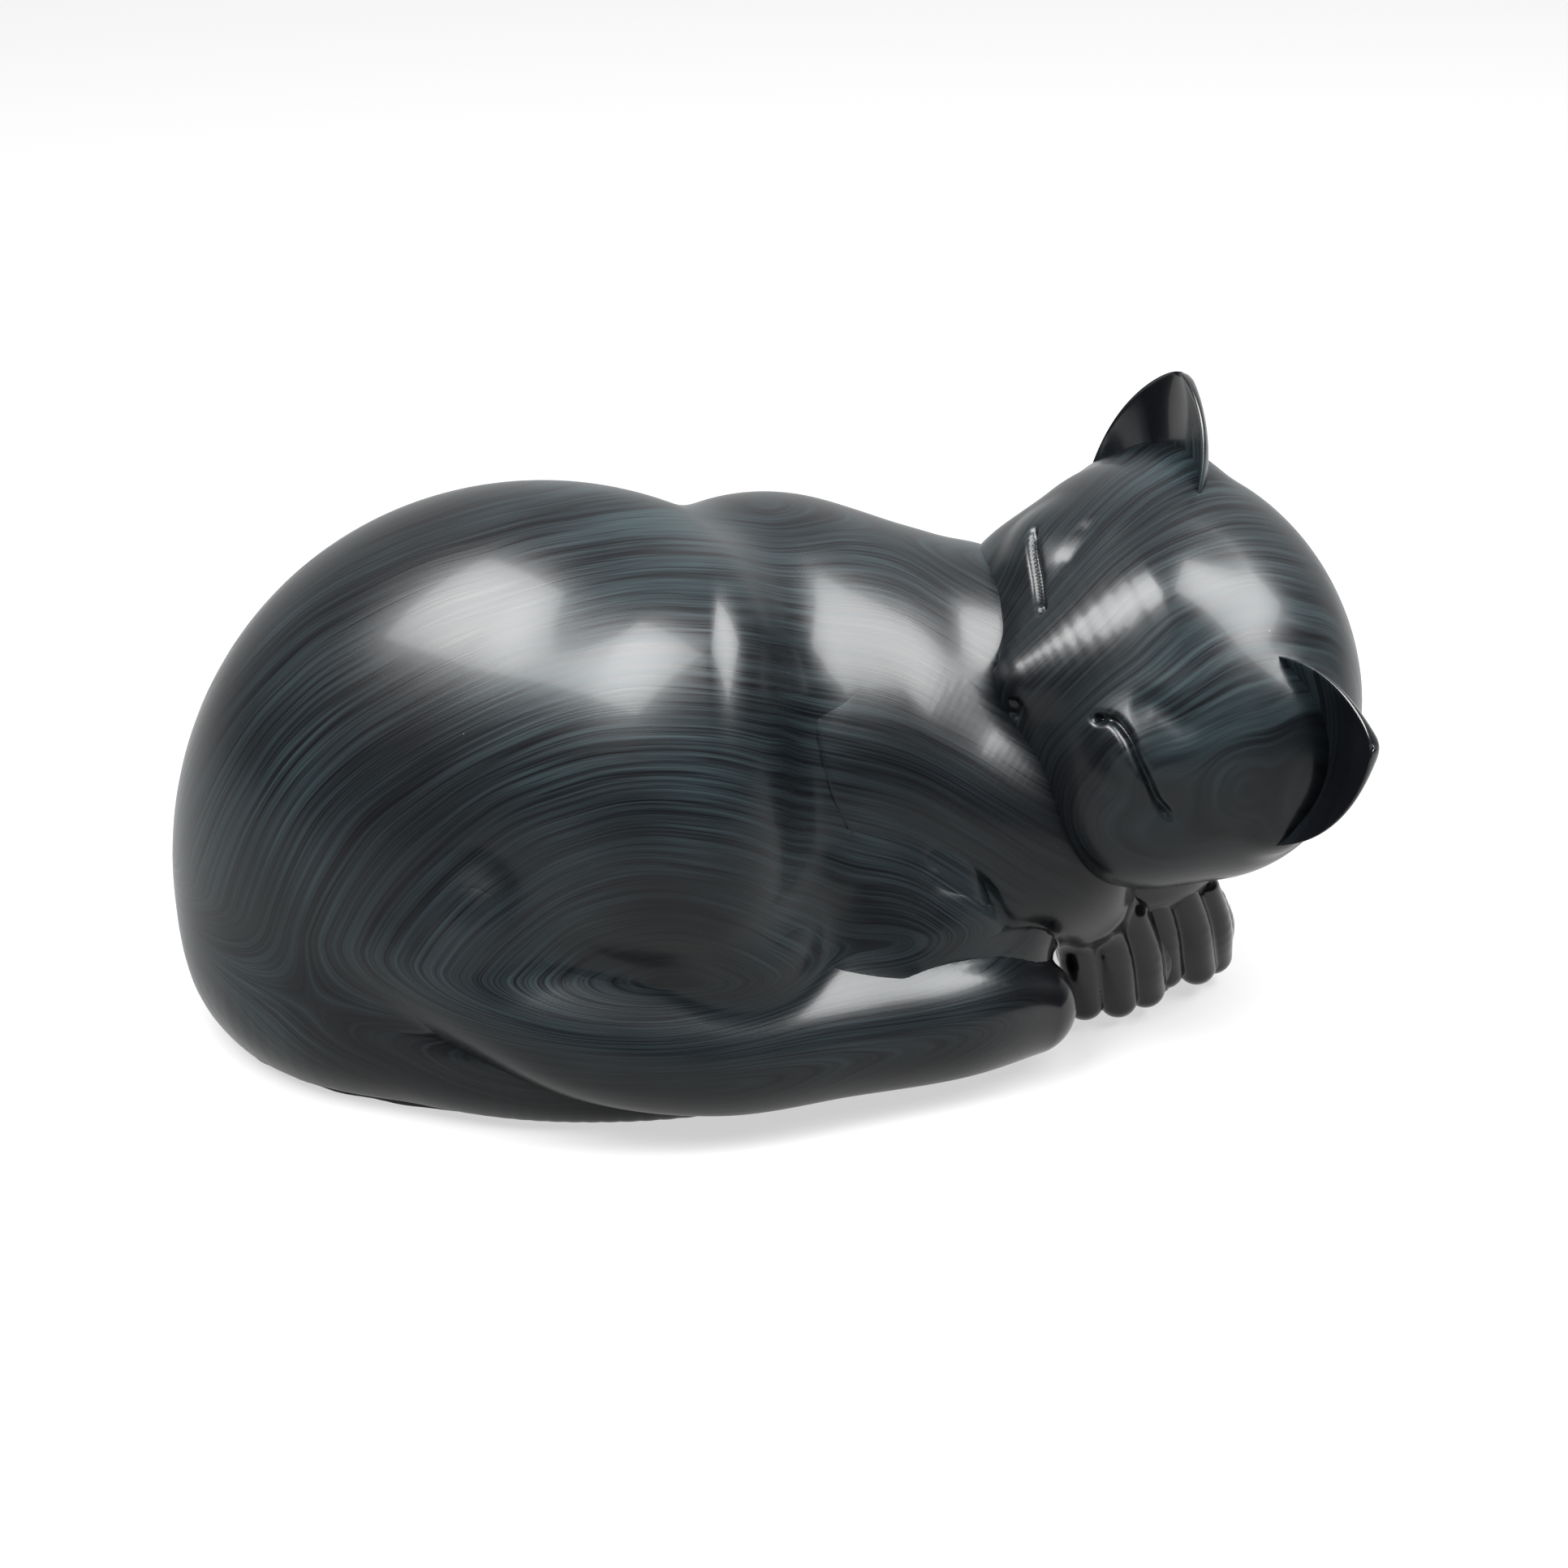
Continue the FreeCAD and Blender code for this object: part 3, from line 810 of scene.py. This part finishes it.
class CatLook(bpy.types.PropertyGroup):
    """Colours and finish."""

    black: colour_property("Black", "Ground of the glaze", (0.0008, 0.00085, 0.0013))
    black_warm: colour_property("Warm black", "Thin patches of the glaze", (0.0015, 0.0013, 0.0017))
    streak: colour_property("Streak", "Brushed lines", (0.0085, 0.0138, 0.0154))
    dust: colour_property("Dust", "Specks on the glaze", (0.2, 0.2, 0.2))
    dust_amount: share_property("Dust amount", "Strength of the specks", 0.5)
    roughness: share_property("Roughness", "Satin of the glaze", 0.32)
    felt: colour_property("Felt", "Colour of the base felt", (0.03, 0.032, 0.035))


class CatStage(bpy.types.PropertyGroup):
    """Camera, lights and floor."""

    elevation: FloatProperty(
        name="Camera elevation", description="Angle above the floor",
        default=math.radians(25), subtype="ANGLE",
    )
    distance: length_property("Camera distance", "From the figure", 0.805)
    target_height: length_property("Target height", "Above the foot of the casting", 0.0512)
    lens: FloatProperty(name="Lens", description="Focal length in millimetres", default=100)
    floor: colour_property("Floor", "Colour of the paper", (0.075, 0.075, 0.075))
    window: power_property("Window light", "Power of the light at the left", 46)
    fill: power_property("Fill light", "Power of the light at the right", 50)


GLAZE = "brushed_black_glaze"


def put_on(piece, node, material):
    """Give a piece its material, hang it under the root, and hide the CAD node it stands for."""
    piece.data.materials.append(material)
    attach(piece, "root")
    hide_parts(node)


def fire_casting(context, node, skin, brush, strokes=()):
    """Make a casting from its skin, draw the tool's strokes on it, and glaze it."""
    points, faces = skin
    depth = context.scene.cat_shape.tool_depth
    strokes = [(knots, width, sink * depth, *rest) for knots, width, sink, *rest in strokes]
    attributes = {"brush": brush(points), "plain": plainness(points)}
    piece = fire(node + "_glazed", points, faces, attributes, strokes)
    glaze = bpy.data.materials.get(GLAZE) or black_glaze(GLAZE, context.scene.cat_look)
    put_on(piece, node, glaze)


# ---------------------------------------------------------------- operators

# Each limb's skin: the path its rays leave from, its rows and columns, and the rays' reach.
LIMB_ROUTES = {
    "right_foreleg": ([(16, 2, 58), (32, 1, 50), (46, 1, 38), (57, 5, 22), (63, 8, 12)], 300, 200, 60),
    "left_forepaw": ([(72, 22, 17), (75, 20.5, 14), (78, 20, 10)], 220, 200, 40),
    "right_hind_leg": (
        [
            (-54, -30, 32), (-42, -33, 29), (-28, -34, 26), (-8, -31, 20),
            (12, -26, 16), (32, -17.5, 13), (44, -11.5, 11),
        ],
        280, 190, 50,
    ),
}
TAIL_ROUTE = [
    (-88, 28, 9), (-97, 10, 9), (-92, -5, 9), (-82, -14, 9), (-67, -21, 9),
    (-51, -26, 9), (-37, -28.5, 8), (-22, -29, 6), (-4, -26.5, 4), (14, -21, 2),
]

# Each lamp's place and width in metres, and how bright the room is low down and in front,
# and what it gains overhead and behind.
WINDOW = ((-0.40, -0.30, 0.80), 0.56)
FILL = ((0.50, -0.12, 0.84), 0.66)
LAMPS_AIM = (0, 0, 0.05)
ROOM_DIM, ROOM_OVERHEAD, ROOM_BEHIND = 0.08, 0.4, 0.9
SENSOR_WIDTH = 36
FLOOR_HALF = 3


class CAT_OT_body(bpy.types.Operator):
    """Back, thigh, shoulder and chest"""

    bl_idname = "cat.body"
    bl_label = "Body"

    def execute(self, context):
        field = casting("body_shell", context.scene.cat_shape.lap / MM)
        skin = skin_round(field, (-25, 7, 34), grid(280), grid(330), 170, focus=-1.75)
        fire_casting(context, "body_shell", skin, brush_over_body, TOOL_STROKES["body_shell"])
        return {"FINISHED"}


class CAT_OT_head(bpy.types.Operator):
    """Head, with its face tooled in"""

    bl_idname = "cat.head"
    bl_label = "Head"

    def execute(self, context):
        field = casting("head_shell", context.scene.cat_shape.lap / MM)
        pole_to_nose = np.array(((0, 0, 1), (0, 1, 0), (-1, 0, 0)), float)
        nose_up = np.array(Euler(HEAD_TURN).to_matrix()) @ pole_to_nose
        skin = skin_round(field, HEAD, grid(270), grid(340), 80, gather=-0.45, turn=nose_up)
        strokes = [(from_head(knots), *rest) for knots, *rest in FACE_STROKES]
        fire_casting(context, "head_shell", skin, brush_over_head, strokes)
        return {"FINISHED"}


class CAT_OT_ears(bpy.types.Operator):
    """Both ears, luted to the head"""

    bl_idname = "cat.ears"
    bl_label = "Ears"

    def execute(self, context):
        wall = context.scene.cat_shape.ear_thickness / MM
        for node, side in (("left_ear", 1), ("right_ear", -1)):
            skin = ear_skin(side, wall, grid(130), grid(160))
            fire_casting(context, node, skin, brush_over_head)
        return {"FINISHED"}


class CAT_OT_limbs(bpy.types.Operator):
    """Right foreleg, left forepaw and right hind leg"""

    bl_idname = "cat.limbs"
    bl_label = "Limbs"

    def execute(self, context):
        lap = context.scene.cat_shape.lap / MM
        for node, (route, rows, columns, reach) in LIMB_ROUTES.items():
            skin = skin_long(casting(node, lap), route, grid(rows), grid(columns), reach)
            fire_casting(context, node, skin, brush_over_body, TOOL_STROKES.get(node, []))
        return {"FINISHED"}


class CAT_OT_tail(bpy.types.Operator):
    """Tail laid round the base"""

    bl_idname = "cat.tail"
    bl_label = "Tail"

    def execute(self, context):
        field = casting("tail", context.scene.cat_shape.lap / MM)
        skin = skin_long(field, TAIL_ROUTE, grid(360), grid(90), 40)
        fire_casting(context, "tail", skin, brush_over_body)
        return {"FINISHED"}


class CAT_OT_felt(bpy.types.Operator):
    """Felt pad under the base"""

    bl_idname = "cat.felt"
    bl_label = "Felt"

    def execute(self, context):
        vent = context.scene.cat_shape.vent_radius
        points, faces = felt_skin("felt_pad", vent / MM, grid(60), grid(360))
        piece = fire("felt_base", points, faces)
        put_on(piece, "felt_pad", felt_cloth("felt_cloth", context.scene.cat_look))
        return {"FINISHED"}


class CAT_OT_stage(bpy.types.Operator):
    """Floor, lights and camera"""

    bl_idname = "cat.stage"
    bl_label = "Stage"

    def execute(self, context):
        scene, stage = context.scene, context.scene.cat_stage
        middle = Vector((FIGURE + (0, 0, stage.target_height / MM)) * MM)
        self.lay_floor(scene, stage)
        self.hang_lamp(scene, "window", *WINDOW, stage.window)
        self.hang_lamp(scene, "fill", *FILL, stage.fill)
        self.light_room(scene)
        forward = Vector((0, math.cos(stage.elevation), -math.sin(stage.elevation)))
        data = bpy.data.cameras.new("camera")
        data.lens, data.sensor_width = stage.lens, SENSOR_WIDTH
        camera = bpy.data.objects.new("camera", data)
        scene.collection.objects.link(camera)
        camera.location = middle - stage.distance * forward
        camera.rotation_euler = forward.to_track_quat("-Z", "Y").to_euler()
        scene.camera = camera
        scene.view_settings.view_transform = "Standard"
        return {"FINISHED"}

    def lay_floor(self, scene, stage):
        """A square of paper with the figure in the middle."""
        mesh = bpy.data.meshes.new("floor")
        corners = [(x * FLOOR_HALF, y * FLOOR_HALF, 0) for x, y in ((-1, -1), (1, -1), (1, 1), (-1, 1))]
        mesh.from_pydata(corners, [], [(0, 1, 2, 3)])
        mesh.materials.append(paper("studio_paper", stage.floor))
        floor = bpy.data.objects.new("floor", mesh)
        scene.collection.objects.link(floor)

    def hang_lamp(self, scene, name, place, size, power):
        """A square softbox aimed at the figure."""
        data = bpy.data.lights.new(name, "AREA")
        data.size, data.energy = size, power
        lamp = bpy.data.objects.new(name, data)
        lamp.location = place
        lamp.rotation_euler = (Vector(LAMPS_AIM) - Vector(place)).to_track_quat("-Z", "Y").to_euler()
        scene.collection.objects.link(lamp)

    def light_room(self, scene):
        """A pale room: brightest overhead and behind, dim in front and near the floor."""
        scene.world = bpy.data.worlds.new("room")
        shader = Shader(scene.world)
        direction = shader.node("ShaderNodeTexCoord", output="Generated")
        back, up = (
            shader.node("ShaderNodeSeparateXYZ", {}, {0: direction}, output=axis) for axis in "YZ"
        )
        level = ROOM_DIM + ROOM_OVERHEAD * up.eased(0.15, 0.95) + ROOM_BEHIND * back.eased(0.0, 0.9)
        white = {"Color": (1.0, 1.0, 1.0, 1.0), "Strength": level}
        background = shader.node("ShaderNodeBackground", {}, white)
        shader.node("ShaderNodeOutputWorld", {}, {"Surface": background})


OPERATORS = (CAT_OT_body, CAT_OT_head, CAT_OT_ears, CAT_OT_limbs, CAT_OT_tail, CAT_OT_felt, CAT_OT_stage)


class CAT_PT_sidebar(bpy.types.Panel):
    """Makes the cat's pieces and sets their sizes and colours"""

    bl_label = "Sleeping cat"
    bl_idname = "CAT_PT_sidebar"
    bl_space_type = "VIEW_3D"
    bl_region_type = "UI"
    bl_category = "Cat"

    def draw(self, context):
        for operator in OPERATORS:
            self.layout.operator(operator.bl_idname)
        for group in (context.scene.cat_shape, context.scene.cat_look, context.scene.cat_stage):
            box = self.layout.box()
            for name in group.__annotations__:
                box.prop(group, name)


CLASSES = (CatShape, CatLook, CatStage, *OPERATORS, CAT_PT_sidebar)
GROUPS = {"cat_shape": CatShape, "cat_look": CatLook, "cat_stage": CatStage}


def register():
    for item in CLASSES:
        bpy.utils.register_class(item)
    for name, group in GROUPS.items():
        setattr(bpy.types.Scene, name, PointerProperty(type=group))


def unregister():
    for name in GROUPS:
        delattr(bpy.types.Scene, name)
    for item in reversed(CLASSES):
        bpy.utils.unregister_class(item)


def main():
    """Make every piece and the stage."""
    register()
    bpy.ops.cat.body()
    bpy.ops.cat.head()
    bpy.ops.cat.ears()
    bpy.ops.cat.limbs()
    bpy.ops.cat.tail()
    bpy.ops.cat.felt()
    bpy.ops.cat.stage()


if __name__ == "__main__":
    main()
